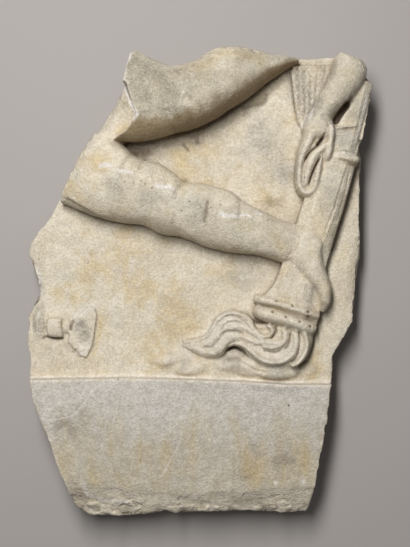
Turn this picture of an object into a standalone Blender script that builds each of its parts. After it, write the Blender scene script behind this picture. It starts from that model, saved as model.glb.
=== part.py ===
"""Marble relief fragment: one broken block of carved marble, lying on its flat back with the relief facing up.

The block is cut as a carver would cut it. A thick slab with broken sides has its relief ground sunk below a plain
band along the lower edge, and the figures are left standing on that ground: the bent limb broken off at the top left,
the infant's limb that crosses the middle, the forearm whose hand hangs relaxed at the upper right, the faceted torch
held upside down with its flames blowing to the left, and the tip of a wing.

Frame: +X to the right of the relief, +Y towards its top, +Z out of its face, origin in the middle of the flat back.
All sizes below are millimetres, measured from a point on the carving that BOX_MIDDLE relates to that origin.
"""

import bpy
import bmesh
from math import atan2, copysign, cos, pi, sin
from mathutils import Matrix, Vector

MM = 0.001

# Levels above the flat back
GROUND = 65
BAND_FACE = 87
DEEP = GROUND - 9
CUT_TOP = GROUND + 140

# The middle of the stone's box, where the part's origin lies, in the coordinates of the tables below
BOX_MIDDLE = (0, 2.4)

# Outline of the stone at its widest level, clockwise from the top left
OUTLINE = [
    (-86, 303), (-56, 291), (-36, 286), (-20, 291), (40, 303), (100, 301), (138, 300), (166, 301), (190, 303),
    (215, 289), (227, 269), (231.5, 257), (224, 236), (218, 214), (213, 183), (216, 161), (214, 119), (213, 77),
    (218, 38), (213, 17), (211, -16), (203, -48), (178, -95), (177, -134), (168, -191), (157, -244), (153, -278),
    (144, -303), (98, -301), (42, -300), (-34, -303), (-43, -300), (-105, -307), (-147, -305), (-165, -294),
    (-178, -264), (-188, -237), (-203, -196), (-219, -162), (-226, -124), (-224, -97), (-230, -85), (-231.5, -59),
    (-231, -41), (-218, -19), (-215, -4), (-222, 18), (-230, 41), (-227, 57), (-199, 91), (-181, 119),
    (-163, 156), (-149, 184), (-134, 203), (-114, 226), (-95, 247), (-93, 270),
]

# Upper arris of the plain band, from left to right, and how far its sloping face runs out to the ground
LEDGE = [(-223, -125), (-97, -123), (0, -125), (68, -128), (120, -131), (175, -131)]
LEDGE_RUN = 1

# Facets where the lower edge of the band has broken away: a point of the facet, and the way it faces
LOWER_BREAKS = [
    ((-120, -263, 87), (-0.05, -0.45, 0.89)),
    ((0, -272, 87), (0.03, -0.52, 0.85)),
    ((100, -282, 87), (0.10, -0.58, 0.81)),
    ((-176, -256, 87), (-0.55, -0.38, 0.74)),
]

# Carved forms as cross-sections: the two edges of the form (x, y and x, y), its crown and its underside
BENT_LIMB = [
    (-87, 305, -113, 187, 137, 57), (-73, 300, -82, 186, 140, 55), (-57, 292, -53, 191, 140, 55),
    (-38, 286, -30, 198, 137, 55), (-19, 288, -9, 203, 135, 55), (3, 297, 17, 214, 135, 55),
    (24, 308, 42, 230, 131, 55), (47, 312, 66, 246, 123, 57), (74, 307, 85, 262, 112, 57),
    (100, 303, 108, 279, 101, 57), (122, 300, 123, 289, 92, 57), (131, 298, 132, 294, 87, 60),
]
CROSSING_LIMB = [
    (-152, 179, -182, 108, 99, 55), (-133, 200, -163, 100, 111, 55), (-111, 194, -143, 92, 117, 55),
    (-93, 178, -124, 86, 119, 55), (-75, 164, -100, 81, 119, 55), (-54, 160, -73, 78, 119, 55),
    (-35, 149, -51, 67, 118, 55), (-20, 136, -29, 64, 115, 57), (0, 134, -10, 58, 113, 57),
    (22, 129, 9, 50, 113, 57), (43, 123, 33, 44, 112, 57), (58, 110, 54, 41, 109, 57),
    (80, 99, 75, 39, 108, 57), (105, 87, 95, 34, 107, 57), (129, 79, 108, 30, 105, 57), (145, 71, 128, 35, 100, 57),
]
BROKEN_SHOULDER = [
    (-96, 258, -85, 258, 96, 57), (-105, 243, -78, 240, 100, 57), (-118, 222, -76, 217, 101, 57),
    (-133, 201, -90, 196, 101, 57), (-146, 183, -106, 174, 103, 57), (-158, 166, -124, 154, 101, 57),
]
FOREARM = [
    (182, 302, 213, 291, 110, 76), (176, 294, 219, 281, 119, 71), (171, 280, 216, 268, 121, 70),
    (164, 263, 208, 254, 121, 69), (156, 248, 197, 239, 119, 65), (148, 234, 185, 228, 115, 54),
    (143, 222, 177, 219, 111, 50), (142, 209, 174, 206, 105, 50),
]
BACK_OF_HAND = [
    (146, 230, 173, 224, 104, 57), (139, 215, 177, 210, 113, 57), (136, 202, 180, 199, 112, 57),
    (137, 192, 178, 190, 104, 57), (140, 184, 172, 183, 92, 57),
]
PALM = [
    (138, 194, 176, 191, 102, 57), (133, 178, 175, 176, 103, 57), (129, 162, 169, 160, 101, 57),
    (126, 149, 164, 148, 99, 57), (127, 136, 160, 136, 97, 57), (130, 125, 155, 124, 94, 57),
    (136, 117, 148, 116, 88, 57),
]
TORCH_SHAFT = [
    (187, 276, 230, 263, 97, 55), (149, 152, 202, 137, 99, 55), (125, 75, 179, 59, 99, 55),
    (111, 37, 168, 20, 98, 55), (97, 2, 164, -15, 97, 55), (77, -20, 160, -44, 97, 55), (70, -42, 152, -63, 92, 55),
]
LOWER_HAND = [
    (133, 79, 117, 33, 103, 57), (151, 75, 122, 24, 107, 57), (163, 60, 130, 16, 108, 57),
    (162, 46, 138, 8, 108, 57), (163, 30, 146, 0, 107, 57), (169, 13, 152, -7, 105, 57),
    (174, -4, 156, -15, 103, 57), (173, -22, 157, -25, 99, 57), (165, -37, 157, -33, 94, 60),
]

# Slender forms as a middle line: x, y, half of the width there, and the crown
FINGERS = [
    [(147, 200, 11, 111), (143, 188, 9, 111), (137, 175, 7.5, 109), (132.5, 162, 6, 106), (131, 149, 5.2, 103),
     (131, 137, 5.2, 101), (133, 127, 5.4, 100), (138, 121, 5.4, 99), (144, 120.5, 5.6, 99), (150, 126, 6.2, 101),
     (153, 136, 6.8, 103), (155, 149, 7.2, 105), (157, 162, 5.6, 105), (159, 172, 4, 103)],
    [(166, 183, 5.5, 109), (159, 177, 7.5, 109), (151, 170, 8.6, 107.5), (145.5, 160, 8.4, 106), (142, 149, 7, 104),
     (139.5, 137, 5.6, 102), (139, 129, 4.5, 99)],
    [(171, 207, 7, 111), (171.5, 197, 7, 112), (170.5, 186, 6.6, 111), (169, 175, 7.6, 110), (167, 166, 6.4, 106),
     (166, 160, 3, 98)],
]
UPPER_MOULDING = [(73, -18, 5, 86), (79, -19, 6.5, 95), (88, -21, 7, 99), (102, -24, 7, 102), (116, -28, 7, 104),
                  (131, -33, 7, 104), (146, -38, 6.5, 102), (158, -42, 5.5, 94)]
LOWER_MOULDING = [(73, -32, 6, 86), (79, -35, 9, 96), (88, -38, 10.5, 101), (101, -41, 11, 104), (114, -45, 11, 106),
                  (127, -49, 11, 106), (138, -54, 10.5, 104), (148, -58, 9, 98), (153, -60, 7, 92)]
UPPER_RING = [(179, 204.5, 1.8, 95), (192, 206, 2, 102), (206, 207, 1.8, 97)]
LOWER_RING = [(173, 169, 4.5, 98), (185, 167, 6.5, 104), (198, 164.5, 7.5, 105), (208, 162, 7, 99)]

# What is cut between the fingers, and between the forearm and the torch: middle line, half width and floor
FINGER_SLITS = [
    ([(163, 197), (159, 188), (154, 181), (147, 175), (141, 168), (137, 160)], 1.6, 95),
    ([(158, 167), (152, 155), (147, 143), (143, 130)], 1.5, 94),
]
GAP = [(177, 210), (181, 218), (187, 227), (197, 240)]
GAP_HALF = 3
GAP_FLOOR = GROUND + 6

# The thick bed of the flames as cross-sections, and the strands on it: middle line, half width at its start and end
FLAME_BED = [
    (95, -46, 152, -60, 94, 55), (89, -50, 148, -86, 93, 55), (84, -51, 134, -105, 92, 55),
    (77, -50, 105, -112, 90, 55), (69, -46, 76, -103, 88, 55), (60, -40, 61, -90, 87, 55), (46, -35, 47, -82, 86, 55),
    (33, -40, 37, -87, 84, 55), (22, -51, 30, -94, 81, 55), (11, -66, 16, -97, 78, 55), (-4, -73, 1, -94, 75, 56),
    (-24, -78, -20, -82, 68, 58),
]
FLAMES = [
    ([(137, -60), (141, -76), (138, -90), (130, -101), (120, -106)], 6, 4),
    ([(126, -58), (127, -76), (123, -89), (111, -99), (96, -101), (81, -97), (69, -87), (58, -79), (48, -77)], 7, 4),
    ([(111, -55), (113, -70), (107, -78), (95, -82), (83, -80)], 7, 4),
    ([(90, -52), (96, -58), (93, -66), (83, -67), (74, -60)], 4.5, 3.5),
    ([(110, -76), (98, -76), (85, -75), (74, -75), (64, -71), (54, -67), (43, -69), (35, -76), (29, -85), (19, -90),
      (5, -88), (-10, -81)], 6, 4.5),
    ([(84, -72), (70, -62), (58, -55), (46, -54), (36, -58), (28, -66)], 6, 4),
    ([(78, -64), (66, -53), (57, -46), (46, -45), (37, -48), (29, -55), (24, -65), (15, -75), (4, -78), (-12, -78)],
     5.5, 4),
    ([(72, -58), (67, -47), (58, -40), (45, -37), (34, -40), (25, -46), (18, -58), (12, -67), (0, -73), (-20, -76)],
     4.5, 2.5),
]
FLAME_CROWN = 99
FLAME_TIP = 72

# Low rock below the flames: middle, half sizes across and along, height over the ground
ROCK = [((-46, -100), (27, 12), 6), ((-14, -112), (30, 12), 7), ((44, -106), (22, 13), 8), ((66, -108), (24, 16), 14),
        ((104, -113), (34, 15), 18), ((146, -112), (18, 12), 6)]

# Wing: outline of the low panel, then the middle line of each feather from its top to its point
WING = [(122, 282), (124, 264), (127, 233), (131, 217), (137, 203), (150, 214), (166, 250), (180, 280), (178, 291),
        (138, 290), (126, 289)]
WING_RISE = 8
FEATHERS = [((132, 286), (136, 214)), ((144, 286), (143, 226)), ((156, 284), (151, 244))]
BARB_STEP = 9
BARB_REACH = 5

# Remains of a broken figure at the left: a square stub, low lumps on both sides of it, and a triangular flake
STUB = [(-202, -45, -202, -68, 74, 55), (-199, -43, -199, -70, 79, 55), (-184, -43, -183, -70, 79, 55),
        (-181, -46, -180, -68, 72, 55)]
STUB_LUMPS = [((-212, -50), (11, 22), 6), ((-176, -55), (9, 12), 8)]
FLAKE = [(-146, -28), (-138, -31), (-136, -42), (-139, -62), (-142, -80), (-149, -96), (-157, -94), (-164, -86),
         (-173, -76), (-172, -58), (-163, -43)]
FLAKE_RISE = 5

# Pieces lost since the carving was made: plan outline and the level that the loss starts from
SHOULDER_LOSS = [(-132, 268), (-93, 259), (-89, 245), (-79, 216), (-93, 199), (-112, 188), (-150, 190)]
SHOULDER_LOSS_LEVEL = 99


def clear_scene():
    for thing in list(bpy.data.objects):
        bpy.data.objects.remove(thing, do_unlink=True)


def collection(name):
    group = bpy.data.collections.new(name)
    bpy.context.scene.collection.children.link(group)
    return group


def place(mesh_data, name, group, cutter=False):
    """Turns a bmesh into a named object. Helper shapes are shown as wire and left out of renders."""
    mesh = bpy.data.meshes.new(name)
    bmesh.ops.translate(mesh_data, verts=mesh_data.verts, vec=Vector((-BOX_MIDDLE[0], -BOX_MIDDLE[1], 0)) * MM)
    bmesh.ops.recalc_face_normals(mesh_data, faces=mesh_data.faces)
    mesh_data.to_mesh(mesh)
    mesh_data.free()
    thing = bpy.data.objects.new(name, mesh)
    group.objects.link(thing)
    if cutter:
        thing.display_type = "WIRE"
        thing.hide_render = True
    return thing


def smooth_rows(rows, steps):
    """The rows with steps - 1 more between each two, along a Catmull-Rom curve through them."""
    result = []
    last = len(rows) - 1
    for i in range(last):
        before, start, end, after = (rows[max(0, min(last, i + k))] for k in (-1, 0, 1, 2))
        for step in range(steps):
            t = step / steps
            result.append(tuple(
                0.5 * (2 * b + (c - a) * t + (2 * a - 5 * b + 4 * c - d) * t ** 2 + (3 * b - a - 3 * c + d) * t ** 3)
                for a, b, c, d in zip(before, start, end, after)))
    result.append(tuple(rows[last]))
    return result


def ring(bm, row, sides, fullness, turn, lean):
    """One closed section between two edge points.

    A fullness over 2 squares its shoulders, and a lean moves the crown towards the second edge.
    """
    ax, ay, bx, by, crown, underside = row
    middle = Vector(((ax + bx) / 2, (ay + by) / 2, (crown + underside) / 2))
    across = Vector(((bx - ax) / 2, (by - ay) / 2, 0))
    rise = (crown - underside) / 2
    verts = bmesh.ops.create_circle(bm, segments=sides, radius=1.0)["verts"]
    for vert in verts:
        angle = atan2(vert.co.y, vert.co.x) + turn
        c, s = cos(angle), sin(angle)
        reach = copysign(abs(c) ** (2 / fullness), c)
        lift = copysign(abs(s) ** (2 / fullness), s)
        reach += lean * max(0, lift) * (1 - abs(reach))
        vert.co = (middle + across * reach + Vector((0, 0, rise * lift))) * MM
    return list({edge for vert in verts for edge in vert.link_edges})


def loft(name, rows, group, sides=10, steps=1, fullness=2.0, turn=0.0, lean=0.0):
    """A solid through the sections, closed at both ends."""
    bm = bmesh.new()
    rings = [ring(bm, row, sides, fullness, turn, lean) for row in smooth_rows(rows, steps)]
    for first, second in zip(rings, rings[1:]):
        bmesh.ops.bridge_loops(bm, edges=first + second)
    bmesh.ops.holes_fill(bm, edges=rings[0] + rings[-1], sides=0)
    return place(bm, name, group, cutter=True)


def strand(name, line, group, sides=6, steps=1, underside=DEEP):
    """A slender form along a middle line of (x, y, half width, crown)."""
    rows = []
    for i, (x, y, half, crown) in enumerate(line):
        ahead = line[min(i + 1, len(line) - 1)]
        behind = line[max(i - 1, 0)]
        side = Vector((behind[1] - ahead[1], ahead[0] - behind[0])).normalized() * half
        rows.append((x + side.x, y + side.y, x - side.x, y - side.y, crown, underside))
    return loft(name, rows, group, sides, steps)


def prism(name, outline, low, high, group, drift=0):
    """A flat outline raised from one level to another, which may drift along Y on the way."""
    bm = bmesh.new()
    verts = bmesh.ops.create_circle(bm, cap_ends=True, segments=len(outline), radius=1.0)["verts"]
    for vert, (x, y) in zip(verts, outline):
        vert.co = Vector((x, y, low)) * MM
    raised = bmesh.ops.extrude_face_region(bm, geom=list(bm.faces))["geom"]
    bmesh.ops.translate(bm, verts=[g for g in raised if isinstance(g, bmesh.types.BMVert)],
                        vec=(0, drift * MM, (high - low) * MM))
    return place(bm, name, group, cutter=True)


def mound(name, middle, half, rise, group):
    """A low rounded lump on the ground."""
    bm = bmesh.new()
    size = Matrix.Diagonal((half[0] * MM, half[1] * MM, (rise + 8) * MM, 1))
    spot = Matrix.Translation(Vector((middle[0], middle[1], GROUND - 8)) * MM)
    bmesh.ops.create_uvsphere(bm, u_segments=12, v_segments=6, radius=1.0, matrix=spot @ size)
    return place(bm, name, group, cutter=True)


def marble():
    material = bpy.data.materials.new("Weathered marble")
    material.use_nodes = True
    shader = material.node_tree.nodes["Principled BSDF"]
    shader.inputs["Base Color"].default_value = (0.60, 0.55, 0.43, 1)
    shader.inputs["Roughness"].default_value = 0.75
    shader.inputs["Metallic"].default_value = 0.0
    return material


def side_offset(index, level):
    """How far the broken side stands inside the outline at a level, changing from point to point."""
    wander = sin(1.7 * index) + 0.6 * sin(0.53 * index + 1)
    if level == 0:
        return 9 + 4 * wander
    if level == GROUND - 3:
        x, y = OUTLINE[index]
        return 5 if abs(x) > 208 and -90 < y < 60 else 0.7 + 0.7 * wander
    return 2 + wander if level == BAND_FACE else 0


def stone_slab(group):
    """The block: outlines bridged at four levels, then broken along the lower edge."""
    corners = [Vector(point) for point in OUTLINE]
    inward = []
    for i, corner in enumerate(corners):
        run = (corners[(i + 1) % len(corners)] - corners[i - 1]).normalized()
        inward.append(Vector((run.y, -run.x)))
    bm = bmesh.new()
    rings = []
    for level in (0, 28, GROUND - 3, BAND_FACE):
        verts = bmesh.ops.create_circle(bm, segments=len(corners), radius=1.0)["verts"]
        for i, vert in enumerate(verts):
            spot = corners[i] + inward[i] * side_offset(i, level)
            vert.co = Vector((spot.x, spot.y, level)) * MM
        rings.append(list({edge for vert in verts for edge in vert.link_edges}))
    for first, second in zip(rings, rings[1:]):
        bmesh.ops.bridge_loops(bm, edges=first + second)
    bmesh.ops.holes_fill(bm, edges=rings[0] + rings[-1], sides=0)
    for point, facing in LOWER_BREAKS:
        cut = bmesh.ops.bisect_plane(bm, geom=list(bm.verts) + list(bm.edges) + list(bm.faces),
                                     plane_co=Vector(point) * MM, plane_no=facing, clear_outer=True)["geom_cut"]
        bmesh.ops.holes_fill(bm, edges=[g for g in cut if isinstance(g, bmesh.types.BMEdge)], sides=0)
    return place(bm, "relief_fragment", group)


def sunk_ground(group):
    """What is cut away above the relief ground, down to the sloping face that ends in the arris of the band."""
    foot = [(x, y + LEDGE_RUN) for x, y in [(-270, LEDGE[0][1])] + LEDGE + [(270, LEDGE[-1][1])]]
    drift = -LEDGE_RUN * (CUT_TOP - GROUND) / (BAND_FACE - GROUND)
    return prism("sunk_ground", foot + [(270, 380), (-270, 380)], GROUND, CUT_TOP, group, drift)


def flames(group):
    """Strands that leave the torch's mouth, turn in an eddy and blow off to the left in a wave."""
    loft("flame_bed", FLAME_BED, group, sides=10, fullness=2.6, turn=pi / 10)
    for number, (spots, first_half, last_half) in enumerate(FLAMES):
        line = []
        for i, (x, y) in enumerate(spots):
            half = first_half + (last_half - first_half) * i / (len(spots) - 1)
            crown = FLAME_TIP + (FLAME_CROWN - FLAME_TIP) * min(1, max(0, x + 20) / 120)
            line.append((x, y, half, crown))
        strand(f"flame_{number}", line, group, steps=2)


def wing(group):
    """The wing tip: a low panel, and feathers with slanting barbs on both sides of their shafts."""
    prism("wing_panel", WING, DEEP, GROUND + WING_RISE, group)
    crown = GROUND + WING_RISE + 3
    for number, (top, tip) in enumerate(FEATHERS):
        shaft = Vector(tip) - Vector(top)
        for barb in range(int(shaft.length / BARB_STEP)):
            root = Vector(top) + shaft.normalized() * BARB_STEP * barb
            for side in (-1, 1):
                end = root + Vector((side * BARB_REACH, -BARB_REACH))
                line = [(root.x, root.y, 1.6, crown), (end.x, end.y, 1.6, crown - 1)]
                strand(f"barb_{number}_{barb}_{side + 1}", line, group, sides=4, underside=GROUND + 2)


def main():
    clear_scene()
    stone = collection("Marble relief fragment")
    carved = collection("Carved forms")
    opened = collection("Opened before the carved forms")
    lost = collection("Cut or lost after them")

    slab = stone_slab(stone)
    slab.data.materials.append(marble())
    sunk = sunk_ground(opened)
    prism("shoulder_loss", SHOULDER_LOSS, SHOULDER_LOSS_LEVEL, CUT_TOP, lost)
    for number, (line, half, floor) in enumerate(FINGER_SLITS):
        strand(f"finger_slit_{number}", [(x, y, half, 126) for x, y in line], lost, underside=floor)
    strand("gap", [(x, y, GAP_HALF, 140) for x, y in GAP], lost, sides=8, underside=GAP_FLOOR)

    loft("bent_limb", BENT_LIMB, carved, sides=16, steps=2, lean=0.2)
    loft("crossing_limb", CROSSING_LIMB, carved, sides=12, steps=2, fullness=2.2, turn=pi / 12)
    loft("broken_shoulder", BROKEN_SHOULDER, carved, sides=8, fullness=2.6)
    loft("forearm", FOREARM, carved, sides=12)
    loft("back_of_hand", BACK_OF_HAND, carved, sides=12, fullness=2.2, turn=pi / 12)
    loft("palm", PALM, carved, sides=8, turn=pi / 8)
    for number, line in enumerate(FINGERS):
        strand(f"finger_{number}", line, carved, sides=8)
    loft("torch_shaft", TORCH_SHAFT, carved, sides=8, fullness=2.5, turn=pi / 8)
    loft("lower_hand", LOWER_HAND, carved, sides=8, fullness=2.3)
    strand("upper_moulding", UPPER_MOULDING, carved, sides=8)
    strand("lower_moulding", LOWER_MOULDING, carved, sides=8)
    strand("upper_ring", UPPER_RING, carved, steps=2)
    strand("lower_ring", LOWER_RING, carved, steps=2)
    flames(carved)
    wing(carved)
    for number, (middle, half, rise) in enumerate(ROCK):
        mound(f"rock_{number}", middle, half, rise, carved)
    loft("stub", STUB, carved, sides=8, fullness=2.8, turn=pi / 8)
    for number, (middle, half, rise) in enumerate(STUB_LUMPS):
        mound(f"stub_lump_{number}", middle, half, rise, carved)
    prism("flake", FLAKE, DEEP, GROUND + FLAKE_RISE, carved)

    sink = slab.modifiers.new("Sink the ground", "BOOLEAN")
    sink.operation = "DIFFERENCE"
    sink.object = sunk
    join = slab.modifiers.new("Carved forms", "BOOLEAN")
    join.operation = "UNION"
    join.operand_type = "COLLECTION"
    join.collection = carved
    lose = slab.modifiers.new("Cuts and losses", "BOOLEAN")
    lose.operation = "DIFFERENCE"
    lose.operand_type = "COLLECTION"
    lose.collection = lost


main()
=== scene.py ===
"""Looks of the marble relief fragment: one block of carved, broken and weathered marble on its flat back.

The carved forms are lofted one after another, melted into a single skin of stone, and then worked over as a carver
and the years would: creases, drill holes, chips, breaks and pits. Sizes are in millimetres until they reach a mesh.
"""

from math import atan2, copysign, cos, pi, sin

import bmesh
import bpy
import numpy as np
from mathutils import Matrix, Vector


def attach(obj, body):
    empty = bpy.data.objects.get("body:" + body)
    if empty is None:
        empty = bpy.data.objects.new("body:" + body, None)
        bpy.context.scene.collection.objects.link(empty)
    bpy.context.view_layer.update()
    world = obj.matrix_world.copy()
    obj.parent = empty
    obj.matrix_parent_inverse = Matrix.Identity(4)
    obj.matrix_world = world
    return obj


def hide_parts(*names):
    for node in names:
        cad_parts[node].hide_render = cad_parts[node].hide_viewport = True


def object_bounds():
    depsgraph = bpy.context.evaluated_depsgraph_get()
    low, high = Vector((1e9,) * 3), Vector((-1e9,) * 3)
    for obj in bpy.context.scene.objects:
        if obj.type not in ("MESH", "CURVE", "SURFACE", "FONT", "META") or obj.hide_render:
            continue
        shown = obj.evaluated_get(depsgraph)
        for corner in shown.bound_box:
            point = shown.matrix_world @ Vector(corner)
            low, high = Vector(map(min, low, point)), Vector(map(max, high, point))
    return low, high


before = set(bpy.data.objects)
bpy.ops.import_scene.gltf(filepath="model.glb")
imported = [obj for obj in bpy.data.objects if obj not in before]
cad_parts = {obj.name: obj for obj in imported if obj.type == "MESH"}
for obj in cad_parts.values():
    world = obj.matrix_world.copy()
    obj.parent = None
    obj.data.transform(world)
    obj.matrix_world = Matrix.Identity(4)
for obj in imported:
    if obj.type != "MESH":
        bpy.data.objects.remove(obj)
cad_low, cad_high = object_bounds()
MM = 0.001

# The block: a slab of white marble with broken sides, its relief ground sunk below a plain band that was left along
# the lower edge as the plinth. The back is flat, and the lower edge of the band has broken away in slanting scars.
GROUND = 65
BAND_FACE = 87
DEEP = GROUND - 9
OUTLINE = [
    (-86, 303), (-56, 291), (-36, 286), (-20, 291), (40, 303), (100, 301), (138, 300), (166, 301), (190, 303),
    (215, 289), (227, 269), (231.5, 257), (224, 236), (218, 214), (213, 183), (216, 161), (214, 119), (213, 77),
    (218, 38), (213, 17), (211, -16), (203, -48), (178, -95), (177, -134), (168, -191), (157, -244), (153, -278),
    (144, -303), (98, -301), (42, -300), (-34, -303), (-43, -300), (-105, -307), (-147, -305), (-165, -294),
    (-178, -264), (-188, -237), (-203, -196), (-219, -162), (-226, -124), (-224, -97), (-230, -85), (-231.5, -59),
    (-231, -41), (-218, -19), (-215, -4), (-222, 18), (-230, 41), (-227, 57), (-199, 91), (-181, 119),
    (-163, 156), (-149, 184), (-134, 203), (-114, 226), (-95, 247), (-93, 270),
]
LEDGE = [(-223, -125), (-97, -123), (0, -125), (68, -128), (120, -131), (175, -131)]
LEDGE_FOOT = 1
SIDE_BULGE = 28
LOWER_BREAKS = [
    ((-120, -263, 87), (-0.05, -0.45, 0.89)),
    ((0, -272, 87), (0.03, -0.52, 0.85)),
    ((100, -282, 87), (0.10, -0.58, 0.81)),
    ((-176, -256, 87), (-0.55, -0.38, 0.74)),
]
carving = bmesh.new()
strokes = []
tints = []


def crease(line, width, depth):
    """A groove along a line seen from in front, which fades out at both ends."""
    strokes.append(("groove", line, width, -depth))


def swell(line, width, rise):
    """A soft ridge along a line, or a soft lump at a single spot."""
    strokes.append(("groove", line, width, rise))


def rubble(line, width, rise):
    """Broken facets along a line."""
    strokes.append(("rubble", line, width, rise))


def tint(name, line, width, strength=1.0):
    """A streak or a spot of one kind of colour change on the surface."""
    tints.append((name, line, width, strength))


def stain_and_shade(line, width, strength=1.0):
    """Brown dirt, and painted shade: dark grooves, holes, slits and hollows, and shadows painted on the ground beside
    raised forms.
    """
    tint("stain_and_shade", line, width, strength)


def bruise(line, width, strength=1.0):
    """White crystals, laid bare where the skin of the stone is lost."""
    tint("bruise", line, width, strength)


def drill(spots, radius, depth):
    """Round holes of the running drill, painted dark inside as shade."""
    for spot in spots:
        strokes.append(("hole", [spot], radius, -depth))
        stain_and_shade([spot], radius * 1.1)


def as_mesh(form, name):
    """A finished closed form as a mesh, its faces turned outwards."""
    bmesh.ops.recalc_face_normals(form, faces=form.faces)
    mesh = bpy.data.meshes.new(name)
    form.to_mesh(mesh)
    form.free()
    return mesh


def take_in(mesh):
    """Puts a mesh with the other forms of the carving."""
    carving.from_mesh(mesh)
    bpy.data.meshes.remove(mesh)


def add_form(form):
    take_in(as_mesh(form, "form"))


def edges_of(verts):
    return list({edge for vert in verts for edge in vert.link_edges})


def closed_row(form, points, level):
    """A closed row of edges through the points at one level."""
    verts = bmesh.ops.create_circle(form, segments=len(points), radius=1.0)["verts"]
    for vert, (x, y) in zip(verts, points):
        vert.co = Vector((x, y, level)) * MM
    return edges_of(verts)


def stack(form, rings):
    """Walls between the rows of edges, closed at both ends."""
    for first, second in zip(rings, rings[1:]):
        bmesh.ops.bridge_loops(form, edges=first + second)
    bmesh.ops.holes_fill(form, edges=rings[0] + rings[-1], sides=0)


def broken_outline(level):
    """The outline at a level: the broken side leans in and out, changing from point to point."""
    corners = [Vector(point) for point in OUTLINE]
    placed = []
    for i, corner in enumerate(corners):
        run = (corners[(i + 1) % len(corners)] - corners[i - 1]).normalized()
        wander = sin(1.7 * i) + 0.6 * sin(0.53 * i + 1)
        inset = {0: 9 + 4 * wander, GROUND: 0.7 + 0.7 * wander, BAND_FACE: 2 + wander}.get(level, 0)
        # The ground's rim is worn back where the block is widest
        if level == GROUND and abs(corner.x) > 208 and -90 < corner.y < 60:
            inset = 5
        placed.append(corner + Vector((run.y, -run.x)) * inset)
    return placed


block = bmesh.new()
stack(block, [closed_row(block, broken_outline(level), level) for level in (0, SIDE_BULGE, GROUND)])
below_ledge = [point for point in broken_outline(BAND_FACE) if point.y < LEDGE[0][1] - 5]
ledge_foot = [(x, y + LEDGE_FOOT) for x, y in LEDGE]
stack(block, [closed_row(block, ledge_foot + below_ledge, DEEP), closed_row(block, LEDGE + below_ledge, BAND_FACE)])
for point, facing in LOWER_BREAKS:
    cut = bmesh.ops.bisect_plane(block, geom=list(block.verts) + list(block.edges) + list(block.faces),
                                 plane_co=Vector(point) * MM, plane_no=facing, clear_outer=True)["geom_cut"]
    bmesh.ops.holes_fill(block, edges=[g for g in cut if isinstance(g, bmesh.types.BMEdge)], sides=0)
add_form(block)
# The rims of the ground are worn round on both sides, and a pale highlight is painted along the arris of the band
crease([(214, 66), (217, 40), (212, 18), (211, -8), (205, -34)], 9, 6)
crease([(-226, 52), (-217, 18), (-213, -4), (-217, -22), (-231, -44), (-233, -62)], 7, 5)
bruise([(-212, -12), (-214, 2), (-218, 20)], 5, 0.7)
bruise([(x, y + 1) for x, y in LEDGE], 2.2, 0.6)
tint("honey", [(-99, 33), (-97, 5), (-94, -20)], 5, 0.9)
tint("honey", [(-38, -28), (-26, -38), (-14, -52)], 17)
# Scratches, chips and a few pits on the plain band
for scratch in ([(-141, -140), (-147, -149), (-154, -158), (-164, -170), (-177, -174), (-200, -178)],
                [(-22, -192), (-26, -208), (-34, -222), (-42, -239), (-50, -251)]):
    crease(scratch, 0.9, 0.5)
    bruise(scratch, 1.0, 0.6)
for spot in ((100, -259), (117, -257), (137, -257), (30, -172), (72, -170), (25, -138), (-24, -174), (-183, -155)):
    swell([spot], 1.8, -0.6)
    bruise([spot], 2.8)
drill([(-106, -124), (118, -158)], 1.3, 1.5)
# Its lower edge has flaked away unevenly, most of all at the left corner
for flaked, width, depth in (([(-158, -286), (-130, -294), (-92, -296)], 15, 3.6),
                             ([(-60, -297), (0, -298), (60, -299), (110, -299), (146, -297)], 7, 1.8)):
    rubble(flaked, width, depth)
for notch, width in (((-95, -304), 8), ((-52, -303), 7), ((-20, -301), 5), ((44, -302), 6), ((88, -303), 7),
                     ((122, -303), 5)):
    swell([notch], width, -6)
bruise([(-152, -262), (-146, -276), (-128, -284), (-96, -286)], 3, 0.7)
stain_and_shade([(-150, -268), (-140, -282), (-120, -290)], 1.5, 0.5)

# The bent limb at the top: an adult's limb, rounded above and steep below, which stands twice as far out as the
# rest. Its left end has broken off, and the break runs down over the stone beside it.
BENT_LIMB = [
    (-87, 305, -113, 187, 137, 57), (-73, 300, -82, 186, 140, 55), (-57, 292, -53, 191, 140, 55),
    (-38, 286, -30, 198, 137, 55), (-19, 288, -9, 203, 135, 55), (3, 297, 17, 214, 135, 55),
    (24, 308, 42, 230, 131, 55), (47, 312, 66, 246, 123, 57), (74, 307, 85, 262, 112, 57),
    (100, 303, 108, 279, 101, 57), (122, 300, 123, 289, 92, 57), (131, 298, 132, 294, 87, 60),
]
BROKEN_SHOULDER = [
    (-96, 258, -85, 258, 96, 57), (-105, 243, -78, 240, 100, 57), (-118, 222, -76, 217, 101, 57),
    (-133, 201, -90, 196, 101, 57), (-146, 183, -106, 174, 103, 57), (-158, 166, -124, 154, 101, 57),
]
SHOULDER_LOSS = [(-132, 268), (-93, 259), (-89, 245), (-79, 216), (-93, 199), (-112, 188), (-150, 190)]
SHOULDER_LOSS_LEVEL = 99
ABOVE_ALL = GROUND + 140


def smooth_rows(rows, steps):
    """The rows with steps - 1 more between each two, along a Catmull-Rom curve through them."""
    result = []
    last = len(rows) - 1
    for i in range(last):
        before, start, end, after = (rows[max(0, min(last, i + k))] for k in (-1, 0, 1, 2))
        for step in range(steps):
            t = step / steps
            result.append(tuple(
                0.5 * (2 * b + (c - a) * t + (2 * a - 5 * b + 4 * c - d) * t ** 2 + (3 * b - a - 3 * c + d) * t ** 3)
                for a, b, c, d in zip(before, start, end, after)))
    result.append(tuple(rows[last]))
    return result


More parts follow.
